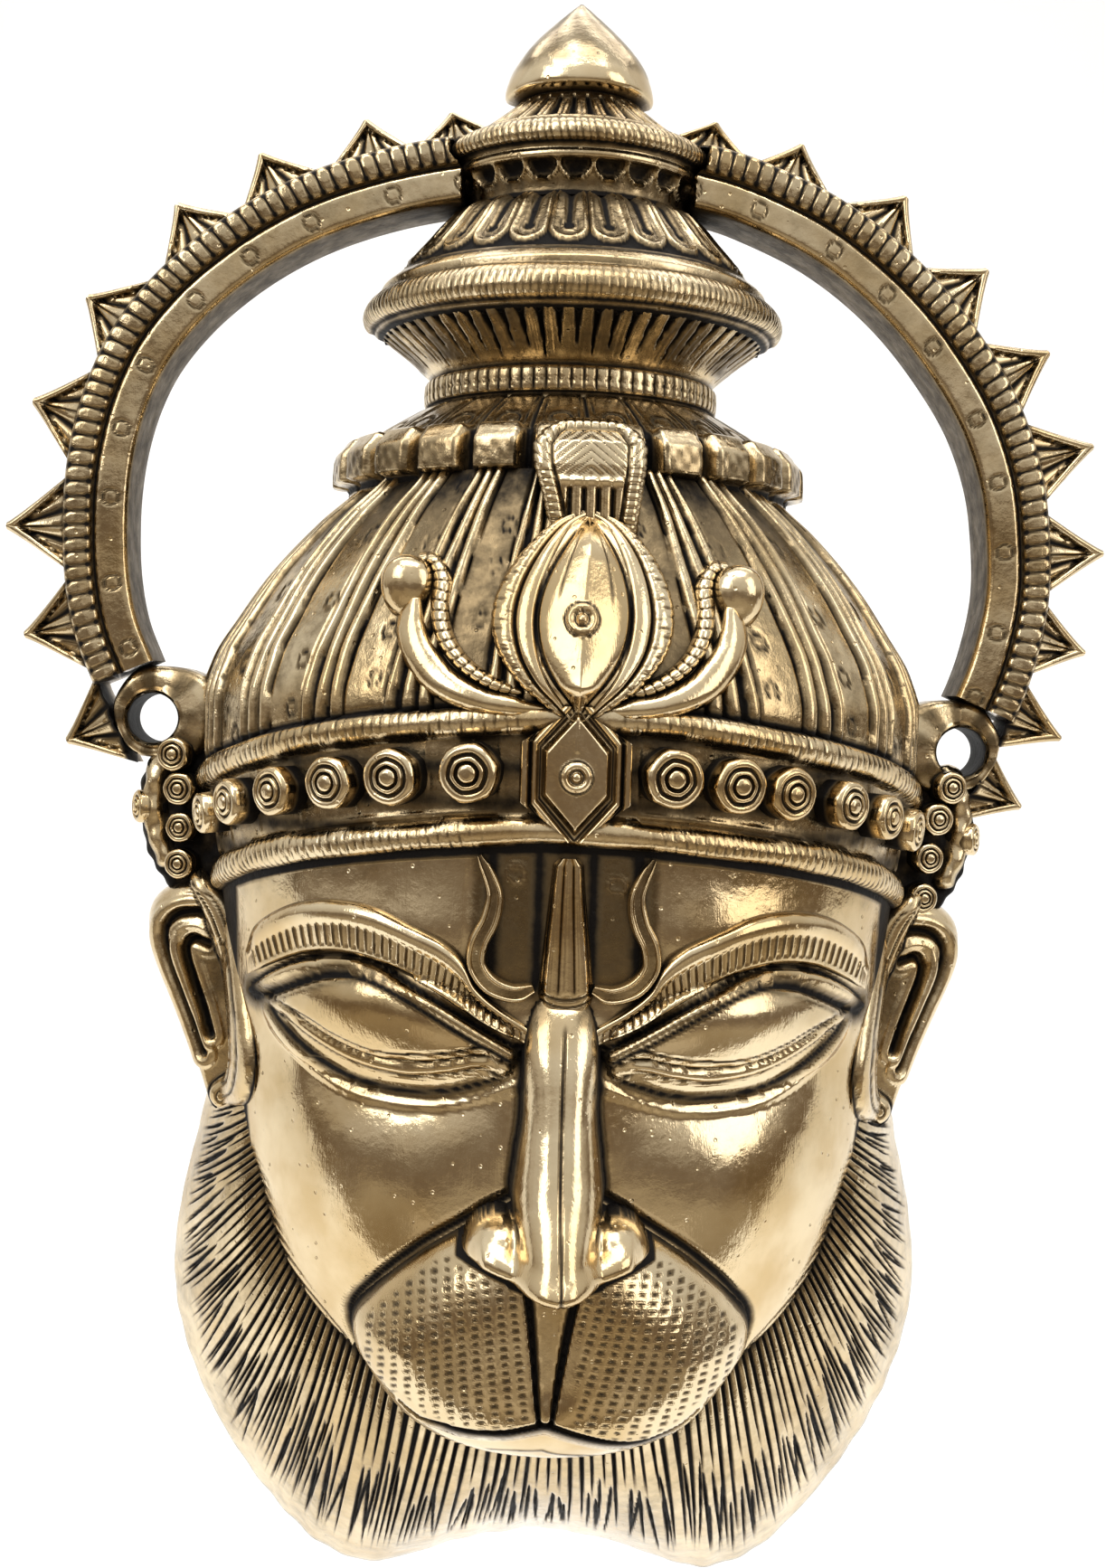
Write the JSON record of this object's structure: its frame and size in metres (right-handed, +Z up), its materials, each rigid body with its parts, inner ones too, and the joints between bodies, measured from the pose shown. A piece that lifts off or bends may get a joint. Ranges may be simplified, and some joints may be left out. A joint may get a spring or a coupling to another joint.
{
  "type": "hanuman mask",
  "caption": "Hollow cast brass wall mask: a crowned monkey face with a full beard, set inside a horseshoe arch edged with spikes.",
  "frame": {"origin": "on the flat back of the crown, on the mask's middle line, where the top of the arch joins it and the wall meets it", "axes": "+X to the right of someone who looks at the face, +Y into the wall, so the face looks towards -Y, and +Z up along the mask"},
  "size_m": [0.2142, 0.079, 0.3071],
  "materials": {
    "brass": "polished cast brass with black-brown patina left in the recesses"
  },
  "bodies": {
    "root": {"mask": "brass"}
  },
  "joints": []
}
